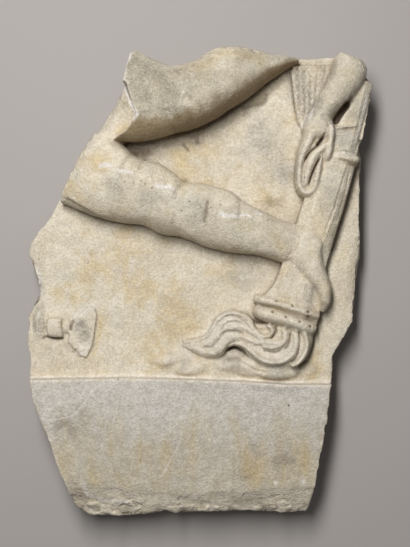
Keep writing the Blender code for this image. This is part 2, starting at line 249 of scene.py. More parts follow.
def loft(rows, sides=36, steps=5, fullness=2.0, turn=0.0, lean=0.0):
    """A closed form through sections given by their two edges, crown and underside.

    A fullness over 2 squares the shoulders, and a lean moves the crown towards the second edge.
    """
    form = bmesh.new()
    rings = []
    for ax, ay, bx, by, crown, underside in smooth_rows(rows, steps):
        middle = Vector(((ax + bx) / 2, (ay + by) / 2, (crown + underside) / 2))
        across = Vector(((bx - ax) / 2, (by - ay) / 2, 0))
        rise = (crown - underside) / 2
        verts = bmesh.ops.create_circle(form, segments=sides, radius=1.0)["verts"]
        for vert in verts:
            angle = atan2(vert.co.y, vert.co.x) + turn
            c, s = cos(angle), sin(angle)
            reach = copysign(abs(c) ** (2 / fullness), c)
            lift = copysign(abs(s) ** (2 / fullness), s)
            reach += lean * max(0, lift) * (1 - abs(reach))
            vert.co = (middle + across * reach + Vector((0, 0, rise * lift))) * MM
        rings.append(edges_of(verts))
    stack(form, rings)
    return form


def prism(outline, low, high):
    """A flat outline raised from one level to another."""
    form = bmesh.new()
    stack(form, [closed_row(form, outline, low), closed_row(form, outline, high)])
    return form


def in_scene(name, data):
    """A new object in the scene."""
    thing = bpy.data.objects.new(name, data)
    bpy.context.scene.collection.objects.link(thing)
    return thing


def stood_up(form, name):
    """The form as an object of its own, for a modifier to work on."""
    return in_scene(name, as_mesh(form, name))


def worked(thing):
    """The mesh that an object's modifiers make of it; the object itself is removed."""
    bpy.context.view_layer.update()
    result = bpy.data.meshes.new_from_object(thing.evaluated_get(bpy.context.evaluated_depsgraph_get()))
    old = thing.data
    bpy.data.objects.remove(thing)
    bpy.data.meshes.remove(old)
    return result


whole_limb = stood_up(loft(BENT_LIMB, lean=0.2), "whole_limb")
lost_part = stood_up(prism(SHOULDER_LOSS, SHOULDER_LOSS_LEVEL, ABOVE_ALL), "lost_part")
loss = whole_limb.modifiers.new("Lost shoulder", "BOOLEAN")
loss.operation = "DIFFERENCE"
loss.object = lost_part
take_in(worked(whole_limb))
bpy.data.objects.remove(lost_part)
add_form(loft(BROKEN_SHOULDER, fullness=2.6))
bruise([(-88, 299), (-95, 276), (-97, 262), (-94, 250), (-88, 236), (-79, 217)], 2.4)
bruise([(-84, 213), (-80, 219)], 2.6, 0.8)
swell([(-62, 262), (-38, 252), (-20, 246)], 16, -2.0)
swell([(-48, 226), (-28, 226), (-8, 234)], 10, 1.6)
# Its underside has kept brown dirt, with painted shade on the side turned away from the lamp, darkest along the lower
# edge, and its face a grey skin
tint("soot_and_shade", [(-112, 188), (-53, 192), (-9, 204), (42, 231), (85, 263), (124, 291)], 22, 0.95)
stain_and_shade([(-30, 200), (-8, 207), (20, 219), (44, 237), (67, 253), (86, 269), (122, 292)], 6.5, 0.95)
# Brown spatters have run onto the ground below it
for spatter, width in (([(90, 252), (85, 242), (70, 238), (59, 234)], 3.0), ([(-5, 198), (-2, 188)], 3.2),
                       ([(-20, 187), (-14, 178)], 2.4), ([(-22, 199), (-10, 198), (4, 203), (15, 212)], 3.0)):
    stain_and_shade(spatter, width, 0.9)
# A contact shadow painted on the ground along the limb's lower edge
stain_and_shade([(-110, 182), (-52, 185), (-6, 197), (46, 224), (90, 257), (128, 285)], 5, 0.45)
tint("patina", [(-95, 290), (-72, 255), (-45, 245)], 36, 0.9)
tint("patina", [(-30, 262), (10, 262)], 30, 0.6)
tint("patina", [(20, 262), (60, 280), (110, 292)], 24, 0.45)
tint("honey", [(-10, 284), (20, 298), (50, 303), (80, 300)], 12, 0.8)
tint("honey", [(-100, 200), (-60, 200), (-25, 208)], 9, 0.8)
# The hollow between this limb and the next, painted black as deep shade
stain_and_shade([(-100, 186), (-84, 178), (-70, 176)], 9, 0.9)

# The infant's limb that crosses the middle: plump, with rolls and creases at the bend and a soft fold at the
# wrist. Its left end is broken flush with the side of the block, under a sharp ridge.
CROSSING_LIMB = [
    (-152, 179, -182, 108, 99, 55), (-133, 200, -163, 100, 111, 55), (-111, 194, -143, 92, 117, 55),
    (-93, 178, -124, 86, 119, 55), (-75, 164, -100, 81, 119, 55), (-54, 160, -73, 78, 119, 55),
    (-35, 149, -51, 67, 118, 55), (-20, 136, -29, 64, 115, 57), (0, 134, -10, 58, 113, 57),
    (22, 129, 9, 50, 113, 57), (43, 123, 33, 44, 112, 57), (58, 110, 54, 41, 109, 57),
    (80, 99, 75, 39, 108, 57), (105, 87, 95, 34, 107, 57), (129, 79, 108, 30, 105, 57), (145, 71, 128, 35, 100, 57),
]


def shelf(line, run, drop):
    """A sharp step down on the right of a line, made good again over the run."""
    strokes.append(("step", line, run, -drop))


add_form(loft(CROSSING_LIMB, fullness=2.2))
crease([(-99, 148), (-95, 157), (-88, 168), (-80, 176)], 3.2, 3.4)
crease([(-77, 148), (-74, 157), (-71, 168)], 2.6, 2.8)
crease([(-17, 142), (-20, 131), (-26, 123), (-33, 116)], 4.0, 3.4)
crease([(54, 118), (54, 105), (53, 93), (51, 80)], 2.4, 1.6)
crease([(-62, 142), (-50, 140), (-36, 132)], 7, 1.4)
crease([(-76, 115), (-50, 111), (-24, 104), (-2, 100)], 9, 2.2)
swell([(-63, 92), (-47, 89), (-32, 86)], 12, 1.8)
swell([(-175, 118), (-154, 105), (-131, 93), (-112, 87)], 3, 1.6)
shelf([(-176, 116), (-154, 103), (-131, 91), (-110, 85)], 9, 4)
# White bruises along its upper side, a dark streak, and a row of small pits
for scrape, size in (([(-127, 153), (-119, 155), (-112, 153)], 2.6), ([(-101, 147), (-92, 146), (-86, 144)], 1.8),
                     ([(-55, 128), (-46, 126), (-38, 127), (-33, 123)], 2.8), ([(29, 92), (36, 89), (44, 90)], 3.0),
                     ([(49, 88), (60, 91), (66, 89)], 1.8), ([(72, 95), (80, 92)], 1.4)):
    swell(scrape, size, -0.8)
    bruise(scrape, size)
stain_and_shade([(11, 108), (9, 95), (7, 83)], 2.0, 0.9)
bruise([(-50, 122), (-34, 116)], 9, 0.3)
for pit in ((-106, 130), (-95, 133), (-84, 131), (-74, 134), (-69, 130), (-44, 123), (28, 104), (-22, 96), (-60, 125),
            (-30, 112), (-12, 108), (16, 100)):
    stain_and_shade([pit], 1.4)
    swell([pit], 1.2, -0.6)
# Along its lower edge: brown dirt with painted shade on the side turned from the lamp, a grey skin, and a contact
# shadow painted on the ground below
tint("soot_and_shade", [(-176, 113), (-140, 94), (-100, 82), (-60, 78), (-20, 64), (40, 45), (100, 33)], 8, 0.4)
tint("patina", [(-100, 118), (-30, 100), (30, 84), (90, 66)], 26, 0.3)
stain_and_shade([(-148, 96), (-122, 81), (-98, 75), (-71, 72), (-49, 61), (-8, 52), (35, 38), (95, 28)], 3, 0.25)

# The upper hand and its forearm: a rounded forearm comes in at the top right and ends in a relaxed hand whose
# long finger turns up in a loop, with drilled slits between the fingers.
FOREARM = [
    (182, 302, 213, 291, 110, 76), (176, 294, 219, 281, 119, 71), (171, 280, 216, 268, 121, 70),
    (164, 263, 208, 254, 121, 69), (156, 248, 197, 239, 119, 65), (148, 234, 185, 228, 115, 54),
    (143, 222, 177, 219, 111, 50), (142, 209, 174, 206, 105, 50),
]
BACK_OF_HAND = [
    (146, 230, 173, 224, 104, 57), (139, 215, 177, 210, 113, 57), (136, 202, 180, 199, 112, 57),
    (137, 192, 178, 190, 104, 57), (140, 184, 172, 183, 92, 57),
]
PALM = [
    (138, 194, 176, 191, 102, 57), (133, 178, 175, 176, 103, 57), (129, 162, 169, 160, 101, 57),
    (126, 149, 164, 148, 99, 57), (127, 136, 160, 136, 97, 57), (130, 125, 155, 124, 94, 57),
    (136, 117, 148, 116, 88, 57),
]
FINGERS = [
    [(147, 200, 11, 111), (143, 188, 9, 111), (137, 175, 7.5, 109), (132.5, 162, 6, 106), (131, 149, 5.2, 103),
     (131, 137, 5.2, 101), (133, 127, 5.4, 100), (138, 121, 5.4, 99), (144, 120.5, 5.6, 99), (150, 126, 6.2, 101),
     (153, 136, 6.8, 103), (155, 149, 7.2, 105), (157, 162, 5.6, 105), (159, 172, 4, 103)],
    [(166, 183, 5.5, 109), (159, 177, 7.5, 109), (151, 170, 8.6, 107.5), (145.5, 160, 8.4, 106), (142, 149, 7, 104),
     (139.5, 137, 5.6, 102), (139, 129, 4.5, 99)],
    [(171, 207, 7, 111), (171.5, 197, 7, 112), (170.5, 186, 6.6, 111), (169, 175, 7.6, 110), (167, 166, 6.4, 106),
     (166, 160, 3, 98)],
]
SLITS = [
    ([(163, 197), (159, 188), (154, 181), (147, 175), (141, 168), (137, 160)], 1.3, 8, 1.04),
    ([(158, 167), (152, 155), (147, 143), (143, 130)], 1.3, 11, 1.04),
    ([(161, 193), (158, 187), (153, 181)], 2.6, 9, 1.7),
]
GAP = [(177, 210), (181, 218), (187, 227), (197, 240)]


def strand(line, sides=16, steps=4, underside=DEEP, fullness=2.0):
    """A slender form along a middle line of (x, y, half width, crown)."""
    rows = []
    for i, (x, y, half, crown) in enumerate(line):
        ahead = line[min(i + 1, len(line) - 1)]
        behind = line[max(i - 1, 0)]
        side = Vector((behind[1] - ahead[1], ahead[0] - behind[0])).normalized() * half
        rows.append((x + side.x, y + side.y, x - side.x, y - side.y, crown, underside))
    return loft(rows, sides, steps, fullness)


add_form(loft(FOREARM))
add_form(loft(BACK_OF_HAND, fullness=2.2))
add_form(loft(PALM))
for finger in FINGERS:
    add_form(strand(finger))
# The slits are cut, and painted dark inside as shade
for slit, width, depth, dark_width in SLITS:
    crease(slit, width, depth)
    stain_and_shade(slit, dark_width)
crease([(153, 229), (164, 226), (173, 224)], 1.5, 0.8)
bruise([(172, 210), (175, 203), (174, 196)], 3, 0.6)
bruise([(134, 208), (139, 216), (143, 224)], 1.6, 0.7)
drill([(166, 206)], 0.9, 1.5)
tint("patina", [(198, 282), (184, 250), (168, 226)], 20, 0.35)
# The gap between the forearm and the torch, cut deep and painted dark as shade
strokes.append(("gap", GAP, 4.6, GROUND + 6))
stain_and_shade(GAP, 4.5)

# The torch, held upside down: a shaft with flat facets and two raised rings, and a mouth with a double moulding
# pierced by small drill holes. The lower hand closes over it.
TORCH_SHAFT = [
    (187, 276, 230, 263, 97, 55), (149, 152, 202, 137, 99, 55), (125, 75, 179, 59, 99, 55),
    (111, 37, 168, 20, 98, 55), (97, 2, 164, -15, 97, 55), (77, -20, 160, -44, 97, 55), (70, -42, 152, -63, 92, 55),
]
LOWER_HAND = [
    (133, 79, 117, 33, 103, 57), (151, 75, 122, 24, 107, 57), (163, 60, 130, 16, 108, 57),
    (162, 46, 138, 8, 108, 57), (163, 30, 146, 0, 107, 57), (169, 13, 152, -7, 105, 57),
    (174, -4, 156, -15, 103, 57), (173, -22, 157, -25, 99, 57), (165, -37, 157, -33, 94, 60),
]
UPPER_MOULDING = [(73, -18, 5, 86), (79, -19, 6.5, 95), (88, -21, 7, 99), (102, -24, 7, 102), (116, -28, 7, 104),
                  (131, -33, 7, 104), (146, -38, 6.5, 102), (158, -42, 5.5, 94)]
LOWER_MOULDING = [(73, -32, 6, 86), (79, -35, 9, 96), (88, -38, 10.5, 101), (101, -41, 11, 104), (114, -45, 11, 106),
                  (127, -49, 11, 106), (138, -54, 10.5, 104), (148, -58, 9, 98), (153, -60, 7, 92)]
UPPER_RING = [(179, 204.5, 2, 100), (192, 206, 2.2, 102.5), (206, 207, 2, 100)]
LOWER_RING = [(173, 169, 4.5, 98), (185, 167, 6.5, 104), (198, 164.5, 7.5, 105), (208, 162, 7, 99)]

add_form(loft(TORCH_SHAFT, sides=8, fullness=2.5, turn=pi / 8))
add_form(loft(LOWER_HAND, fullness=2.3))
for band in (UPPER_MOULDING, LOWER_MOULDING, UPPER_RING, LOWER_RING):
    add_form(strand(band))
rubble([(178, 169), (192, 167), (205, 163)], 7, 1.8)
crease([(175, 172), (180, 168), (186, 171), (191, 166), (197, 168), (202, 163), (207, 166)], 0.9, 1.6)
bruise([(176, 171), (190, 171), (204, 168)], 2.2, 0.6)
# Dark lines painted as shade where the rings meet the shaft
stain_and_shade([(180, 175), (192, 175), (203, 173)], 1.0, 0.6)
stain_and_shade([(176, 160), (190, 158), (204, 155)], 1.0, 0.5)
stain_and_shade([(180, 202), (192, 203), (205, 204)], 1.0, 0.5)
shelf([(127, 79), (130, 64), (129, 51), (123, 42), (112, 32)], 14, 3)
crease([(194, 156), (189, 143), (185, 129), (180, 115), (176, 99), (168, 80), (161, 59)], 1.2, 2.2)
# The facet groove painted dark as shade
stain_and_shade([(194, 156), (185, 129), (176, 99)], 1.0, 0.5)
crease([(198, 155), (195, 140), (192, 125), (186, 103), (178, 78)], 1.0, 1.6)
# Its right side is a rough ridge, pale on the crest, and a brown shadow is painted on the ground beside it
crease([(227, 254), (222, 234), (216, 212), (210, 190), (205, 174)], 1.2, 3.0)
crest = [(221, 250), (216, 230), (211, 210), (205, 186)]
swell(crest, 1.6, 1.2)
bruise(crest, 1.8, 0.8)
for spot in ((219, 243), (217, 235), (214.5, 226), (212.5, 217), (210, 207), (208, 198)):
    swell([spot], 1.3, -1.8)
stain_and_shade([(210, 158), (203, 132), (196, 108), (187, 82), (178, 52)], 7, 0.7)
tint("grey", [(190, 196), (194, 180)], 10, 0.9)
tint("patina", [(210, 244), (202, 216)], 10, 0.3)
tint("patina", [(178, 148), (166, 104)], 12, 0.3)
# The upper hand, next to the torch, is worn a little uneven
rubble([(158, 204), (140, 170), (146, 130)], 22, 1.0)
# Soft steps part the lower hand's fingers, and deep grooves part the mouldings
shelf([(140, 4), (139, -9), (136, -22)], 14, -1.8)
crease([(140, 3), (138, -9), (135, -22)], 1.0, 1.2)
shelf([(117, 22), (111, 4), (106, -14)], 14, -1.4)
swell([(116, 22), (111, 4), (106, -14)], 1.3, 0.9)
crease([(150, -2), (148, -14), (146, -26)], 5, 1.6)
# Grey shade painted in the groove between the fingers
tint("grey", [(148, -2), (146, -14), (144, -26)], 6, 0.7)
crease([(74, -26), (84, -27), (95, -29), (107, -33), (120, -38), (133, -43), (146, -47), (155, -50)], 1.8, 4)
# The groove between the mouldings painted dark as shade
stain_and_shade([(78, -26), (95, -29), (107, -33), (120, -38), (133, -43), (150, -48)], 1.0, 0.35)
crease([(76, -47), (88, -50), (100, -53), (112, -57), (124, -61), (138, -66)], 1.6, 3)
drill([(101, -21), (122, -27), (142, -35), (96, -35), (113, -41.5), (131, -48), (142, -41), (145, -54)], 1.6, 4)
drill([(188, 83)], 1.0, 1.5)
# A brown shadow painted on the ground to the right of the mouldings
stain_and_shade([(163, -25), (161, -45), (157, -62)], 4, 0.6)

# The flames blow off to the left: strands leave the mouth, turn in an eddy, merge, and run out in a wave that
# thins to points over low rock. The strands are round ridges on one thick bed, with drilled hollows between some.
FLAME_BED = [
    (95, -46, 152, -60, 94, 55), (89, -50, 148, -86, 93, 55), (84, -51, 134, -105, 92, 55),
    (77, -50, 105, -112, 90, 55), (69, -46, 76, -103, 88, 55), (60, -40, 61, -90, 87, 55),
    (46, -35, 47, -82, 86, 55), (33, -40, 37, -87, 84, 55), (22, -51, 30, -94, 81, 55),
    (11, -66, 16, -97, 78, 55), (-4, -73, 1, -94, 75, 56), (-24, -78, -20, -82, 68, 58),
]
FLAMES = [
    ([(137, -60), (141, -76), (138, -90), (130, -101), (120, -106)], 6, 4),
    ([(126, -58), (127, -76), (123, -89), (111, -99), (96, -101), (81, -97), (69, -87), (58, -79), (48, -77)], 7, 4),
    ([(111, -55), (113, -70), (107, -78), (95, -82), (83, -80)], 7, 4),
    ([(90, -52), (96, -58), (93, -66), (83, -67), (74, -60)], 4.5, 3.5),
    ([(110, -76), (98, -76), (85, -75), (74, -75), (64, -71), (54, -67), (43, -69), (35, -76), (29, -85), (19, -90),
      (5, -88), (-10, -81)], 6, 4.5),
    ([(84, -72), (70, -62), (58, -55), (46, -54), (36, -58), (28, -66)], 6, 4),
    ([(78, -64), (66, -53), (57, -46), (46, -45), (37, -48), (29, -55), (24, -65), (15, -75), (4, -78), (-12, -78)],
     5.5, 4),
    ([(72, -58), (67, -47), (58, -40), (45, -37), (34, -40), (25, -46), (18, -58), (12, -67), (0, -73), (-20, -76)],
     4.5, 2.5),
]
FLAME_CROWN = 99
FLAME_TIP = 72
ROCK = [((-46, -100), (27, 12), 6), ((-14, -112), (30, 12), 7), ((44, -106), (22, 13), 8), ((66, -108), (24, 16), 14),
        ((104, -113), (34, 15), 18), ((146, -112), (18, 12), 6)]
ROCK_LUMPS = [((-45, -101), 16, 4.5), ((-22, -97), 10, 2.5), ((-12, -115), 12, 4.5), ((26, -112), 15, 5),
              ((6, -103), 9, 3), ((50, -104), 8, 2), ((80, -121), 12, 5), ((104, -124), 13, 6), ((128, -122), 11, 5),
              ((143, -122), 8, 3), ((-66, -112), 11, 2.5)]


def mound(middle, half, rise):
    """A low rounded lump on the ground."""
    form = bmesh.new()
    size = Matrix.Diagonal((half[0] * MM, half[1] * MM, (rise + 8) * MM, 1))
    spot = Matrix.Translation(Vector((middle[0], middle[1], GROUND - 8)) * MM)
    bmesh.ops.create_uvsphere(form, u_segments=32, v_segments=16, radius=1.0, matrix=spot @ size)
    return form


add_form(loft(FLAME_BED, fullness=2.6))
for line, first_half, last_half in FLAMES:
    cord = []
    for i, (x, y) in enumerate(line):
        along = i / (len(line) - 1)
        level = FLAME_TIP + (FLAME_CROWN - FLAME_TIP) * min(1, max(0, x + 20) / 120)
        cord.append((x, y, first_half + (last_half - first_half) * along, level))
    add_form(strand(cord))
for middle, half, rise in ROCK:
    add_form(mound(middle, half, rise))
for middle, size, rise in ROCK_LUMPS:
    swell([middle], size, rise)
# Grooves that the running drill cut between them, as a line, its width, its depth and how dark the painted shade in
# it is
for groove, width, depth, dark in (
        ([(6, -72), (13, -68), (18, -60), (23, -48)], 1.2, 1.6, 0.3),
        ([(29, -43), (36, -41), (46, -41), (54, -44), (62, -50), (67, -57)], 1.2, 2.4, 0.5),
        ([(30, -58), (34, -52), (40, -49), (49, -49), (56, -52)], 1.3, 2.4, 0.5),
        ([(28, -69), (32, -64), (39, -61), (50, -61), (59, -64)], 1.8, 6.0, 1.0),
        ([(6, -82), (16, -82), (22, -77), (28, -69)], 1.3, 3.6, 0.8),
        ([(36, -85), (40, -78), (48, -74), (54, -74)], 1.2, 2.6, 0.5),
        ([(35, -88), (41, -84), (49, -82.5), (57, -86), (62, -91)], 2.2, 9.0, 1.0),
        ([(19, -90), (26, -88), (30, -84)], 1.0, 1.6, 0.5),
        ([(100, -53), (101, -60), (98, -66), (94, -70)], 1.4, 6.0, 1.0),
        ([(103, -52), (103, -58), (101, -63)], 1.0, 2.0, 0.3),
        ([(71, -49), (75, -55), (81, -58), (88, -58)], 1.1, 2.6, 0.5),
        ([(72, -47), (77, -50), (83, -50)], 1.4, 4.0, 0.9),
        ([(120, -60), (119, -72), (116, -81), (112, -84)], 1.4, 6.0, 0.9),
        ([(108, -84), (103, -88), (94, -88), (85, -86)], 1.3, 4.0, 0.8),
        ([(130, -60), (132, -72), (131, -84), (126, -97), (118, -101)], 1.1, 4.0, 0.8),
        ([(53, -99), (64, -105), (76, -112), (92, -114)], 1.4, 2.0, 0.3)):
    crease(groove, width, depth)
    stain_and_shade(groove, 0.6 * width, dark)
# Black shade painted in the deepest hollow of the eddy
stain_and_shade([(41, -85), (49, -83.5), (57, -87)], 1.6)
# A brown shadow painted on the ground to the right of the flames
stain_and_shade([(152, -62), (151, -78), (145, -95), (135, -108)], 4.0, 0.8)
bruise([(-10, -84), (18, -74), (30, -60), (58, -64), (90, -90), (125, -85)], 15, 0.3)
bruise([(6, -72), (16, -58), (30, -44), (46, -40)], 6, 0.45)
# The rock was left rough from the point chisel
rubble([(-75, -104), (-30, -108), (10, -112), (60, -112), (110, -119), (165, -108)], 13, 1.5)
# Painted shade: grey on the lower side of a lump, a short shade line, and the crevice along the ledge
tint("grey", [(-18, -104), (-20, -112)], 7, 0.8)
stain_and_shade([(40, -99), (48, -98), (54, -100)], 2.2, 0.5)
stain_and_shade([(86, -124), (104, -126), (118, -124)], 1.6, 0.5)

# The wing tip between the two arms: a low panel with five feathers, parted by grooves and cut as fine slanting barbs
# on either side of their shafts.
WING = [(122, 282), (124, 264), (127, 233), (131, 217), (137, 203), (150, 214), (166, 250), (180, 280), (178, 291),
        (138, 290), (126, 289)]
WING_RISE = 9
FEATHERS = [((126, 291), (131, 228)), ((134, 293), (137, 216)), ((144, 293), (143, 226)), ((154, 293), (150, 244)),
            ((164, 293), (160, 262))]
BARB_STEP = 4.8

add_form(prism(WING, DEEP, GROUND + WING_RISE))
for number, (top, tip) in enumerate(FEATHERS):
    shaft = Vector(tip) - Vector(top)
    swell([top, tip], 1.4, 1.2)
    for barb in range(int(shaft.length / BARB_STEP)):
        root = Vector(top) + shaft.normalized() * BARB_STEP * barb
        for side in (-1, 1):
            uneven = sin(2.3 * barb + 1.9 * side + 4 * number)
            end = root + Vector((side * (4.0 + 0.4 * uneven), -7.5 - 0.8 * uneven))
            line = [tuple(root), tuple(end)]
            crease(line, 1.0, 1.7 + 0.5 * uneven)
            # The barb grooves painted darker as shade
            stain_and_shade(line, 0.9, 0.16 + 0.10 * uneven)
    crease([top, tip], 0.8, 0.9)
    between = [(top[0] + 4.8, top[1]), (tip[0] + 3.6, tip[1] + 8)]
    crease(between, 1.1, 2.0)
    # The grooves between the feathers painted dark as shade
    stain_and_shade(between, 0.8, 0.35)
swell([(147, 225), (143, 216), (137, 206)], 2, 1.5)
bruise([(148, 228), (143, 217), (136, 207)], 1.4, 0.8)
tint("grey", [(132, 280), (138, 256), (146, 230)], 14)
stain_and_shade([(160, 290), (172, 282), (162, 262)], 6, 0.4)
# A shadow line painted along the wing's left border
stain_and_shade([(121, 282), (123, 262), (127, 236), (134, 212)], 1.4, 0.6)

# What is left of a broken figure at the left edge: a square stub, the flake it joined, and a hollow triangular scar
# with a thin raised lip.
STUB = [(-202, -45, -202, -68, 74, 55), (-199, -43, -199, -70, 79, 55), (-184, -43, -183, -70, 79, 55),
        (-181, -46, -180, -68, 72, 55)]
FLAKE = [(-146, -28), (-138, -31), (-136, -42), (-139, -62), (-142, -80), (-149, -96), (-157, -94), (-164, -86),
         (-173, -76), (-172, -58), (-163, -43)]
FLAKE_RISE = 5
add_form(loft(STUB, fullness=2.8, lean=-0.25))
add_form(prism(FLAKE, DEEP, GROUND + FLAKE_RISE))
add_form(mound((-212, -50), (11, 22), 6))
add_form(mound((-176, -55), (9, 12), 8))
rubble([(-213, -34), (-214, -66)], 9, 2.2)
swell([(-180, -72), (-165, -87)], 6, 2.5)
swell([(-160, -50), (-152, -60), (-152, -72), (-154, -82)], 8, -3.5)
crease([(-166, -46), (-169, -53), (-170, -62)], 1.6, 3)
swell([(-137, -36), (-138, -48), (-140, -62), (-142, -76), (-148, -92)], 1.4, 1.4)
crease([(-208, -71), (-200, -69), (-191, -71), (-180, -71)], 1.5, 5)
crease([(-182, -45), (-181, -56), (-180, -66)], 1.4, 1.5)
crease([(-201, -38), (-202, -52), (-202, -66)], 1.4, 1.5)
# Dark lines painted as shade below the stub and in the crease
for dark in ([(-207, -71), (-200, -69), (-191, -71), (-181, -71)], [(-168, -48), (-170, -59)]):
    stain_and_shade(dark, 1.7, 0.8)
for fresh in ([(-166, -44), (-148, -31), (-140, -29)], [(-158, -86), (-152, -80), (-146, -76)]):
    bruise(fresh, 4.5, 0.5)
tint("grey", [(-160, -54), (-150, -62), (-152, -72)], 9, 0.9)
tint("grey", [(-213, -36), (-213, -60)], 7, 0.8)
rubble([(-161, -48), (-152, -68), (-152, -90)], 11, 1.6)
bruise([(-153, -80), (-155, -90)], 6, 0.5)
# A brown shadow painted to the right of the lip
tint("honey", [(-131, -44), (-133, -66), (-140, -92)], 3, 0.9)

# All of it is one stone: the forms are melted into a single closed skin, and the creases, steps and holes are cut
# into it. The sides and the lower edge are left as broken stone, and every arris is worn and chipped.
SKIN_STEP = 1.15
MOST_TRIANGLES = 195000
SEED = 11
SOFT_ROUNDS = 5
SOFTER_ROUNDS = 18
MIDDLE = np.array((0, 2.4, 0))


def ramp(low, high, value):
    """A smooth rise from 0 at low to 1 at high, or a fall where low is the larger."""
    t = np.clip((value - low) / (high - low), 0, 1)
    return t * t * (3 - 2 * t)


def scramble(cells, salt):
    """A fixed number from -1 to 1 for each cell of a lattice."""
    mixed = (cells[:, 0] * 73856093) ^ (cells[:, 1] * 19349663) ^ (cells[:, 2] * 83492791) ^ (salt * 50331653)
    mixed = (mixed & 0x7fffffff) * 48271 % 2147483647
    mixed = (mixed ^ (mixed >> 13)) * 69621 % 2147483647
    return (mixed & 0xffff) / 32767.5 - 1


def lumps(points, size, salt):
    """Soft noise from -1 to 1 whose lumps are about the size apart."""
    cells = np.floor(points / size).astype(np.int64)
    part = points / size - cells
    part = part * part * (3 - 2 * part)
    total = np.zeros(len(points))
    for corner in np.ndindex(2, 2, 2):
        share = np.prod(np.where(corner, part, 1 - part), axis=1)
        total += share * scramble(cells + corner, salt + SEED)
    return total


def facets(points, size, salt):
    """Broken facets from about -1 to 1: each cell is a tilted plane of its own."""
    cells = np.floor(points / size).astype(np.int64)
    nearest = np.full(len(points), 9.0)
    height = np.zeros(len(points))
    for corner in np.ndindex(3, 3, 3):
        cell = cells + np.array(corner) - 1
        middle = cell + 0.5 + 0.45 * np.stack([scramble(cell, salt + k) for k in (1, 2, 3)], axis=1)
        gap = points / size - middle
        reach = np.sqrt((gap ** 2).sum(1))
        tilt = np.stack([scramble(cell, salt + k) for k in (4, 5, 6)], axis=1)
        closer = reach < nearest
        nearest = np.where(closer, reach, nearest)
        height = np.where(closer, (gap * tilt).sum(1) + 0.5 * scramble(cell, salt + 7), height)
    return height


def line_reach(spots, line):
    """For each spot: its distance to the line, how far it is to the line's left, and how far along it lies."""
    if len(line) == 1:
        reach = np.hypot(*(spots - np.array(line[0])).T)
        return reach, reach, np.full(len(spots), 0.5)
    path = np.array(smooth_rows(line, 5))
    nearest = np.full(len(spots), np.inf)
    left = np.zeros(len(spots))
    along = np.zeros(len(spots))
    for i, (start, end) in enumerate(zip(path, path[1:])):
        run = end - start
        t = np.clip(((spots - start) @ run) / (run @ run), 0, 1)
        gap = spots - (start + t[:, None] * run)
        reach = np.hypot(*gap.T)
        closer = reach < nearest
        nearest = np.where(closer, reach, nearest)
        left = np.where(closer, (run[0] * gap[:, 1] - run[1] * gap[:, 0]) / np.hypot(*run), left)
        along = np.where(closer, (i + t) / (len(path) - 1), along)
    return nearest, left, along


def near_line(points, line, margin):
    """Which points lie in the box around a line."""
    low = np.min(line, axis=0) - margin
    high = np.max(line, axis=0) + margin
    return np.flatnonzero(((points[:, :2] > low) & (points[:, :2] < high)).all(1) & (points[:, 2] > DEEP - 4))


def relaxed(points, edges, rounds, strength=0.5):
    """The points drawn towards their neighbours, round after round."""
    first, second = edges.T
    size = len(points)
    count = np.bincount(edges.ravel(), minlength=size)[:, None]
    for _ in range(rounds):
        total = np.stack([np.bincount(first, points[second, k], size) + np.bincount(second, points[first, k], size)
                          for k in range(3)], axis=1)
        points = points + strength * (total / count - points)
    return points


def gathered(items, field, width, kind=np.float32):
    """One field of all the items, as rows of an array."""
    values = np.empty(len(items) * width, kind)
    items.foreach_get(field, values)
    return values.reshape(-1, width)


def read(mesh):
    """A mesh's points in millimetres, measured as in the tables above, and their normals."""
    points = gathered(mesh.vertices, "co", 3).astype(float) / MM + MIDDLE
    return points, gathered(mesh.vertex_normals, "vector", 3).astype(float)


def write(mesh, points):
    mesh.vertices.foreach_set("co", ((points - MIDDLE) * MM).astype(np.float32).ravel())
    mesh.update()


def edge_pairs(mesh):
    """The numbers of the two points that each edge joins."""
    return gathered(mesh.edges, "vertices", 2, np.int32)


bmesh.ops.translate(carving, verts=carving.verts, vec=-Vector(MIDDLE) * MM)
melted = stood_up(carving, "melted")
remesh = melted.modifiers.new("Skin", "REMESH")
remesh.mode = "VOXEL"
remesh.voxel_size = SKIN_STEP * MM
skin = worked(melted)
edges = edge_pairs(skin)
write(skin, relaxed(read(skin)[0], edges, 2))
points, normals = read(skin)


def worked_over(points, normals, kinds):
    """The points moved by the strokes of some kinds."""
    for kind, line, width, rise in strokes:
        if kind not in kinds:
            continue
        found = near_line(points, line, 4 * width)
        found = found[normals[found, 2] > 0.1]
        reach, left, along = line_reach(points[found, :2], line)
        fade = np.clip(np.minimum(along, 1 - along) * 6, 0, 1) if len(line) > 1 else 1
        if kind == "gap":
            share = ramp(1.15 * width, 0.6 * width, reach / np.clip(1.3 * fade, 0.01, 1))
            points[found, 2] += np.minimum(rise - points[found, 2], 0) * share
            continue
        if kind == "step":
            amount = np.where(left < 0, np.exp(-np.abs(left) / width), 0) * (reach < 4 * width)
        elif kind == "hole":
            amount = ramp(1.25 * width, 0.75 * width, reach)
        elif kind == "rubble":
            fade = 1
            amount = ramp(1.2 * width, 0.6 * width, reach) * (facets(points[found], 15, 60) + 0.3)
        else:
            amount = np.exp(-(reach / width) ** 2)
        points[found, 2] += rise * amount * fade
    return points


# Steps and rubble are cut before the stone wears, and the grooves, holes and the gap after it
points = worked_over(points, normals, ("step", "rubble"))
write(skin, points)
points, normals = read(skin)


def broken_share(points, normals):
    """1 where the stone is broken, 0 where it is carved or sawn."""
    from_rim = line_reach(points[:, :2], OUTLINE + OUTLINE[:1])[0]
    side = ramp(0.8, 0.55, normals[:, 2]) * ramp(12, 8, from_rim)
    side = np.maximum(side, ramp(GROUND - 2, GROUND - 5, points[:, 2]))
    scar = ramp(-0.25, -0.45, normals[:, 1]) * ramp(-250, -258, points[:, 1])
    return np.maximum(side, scar) * ramp(-0.9, -0.7, normals[:, 2])


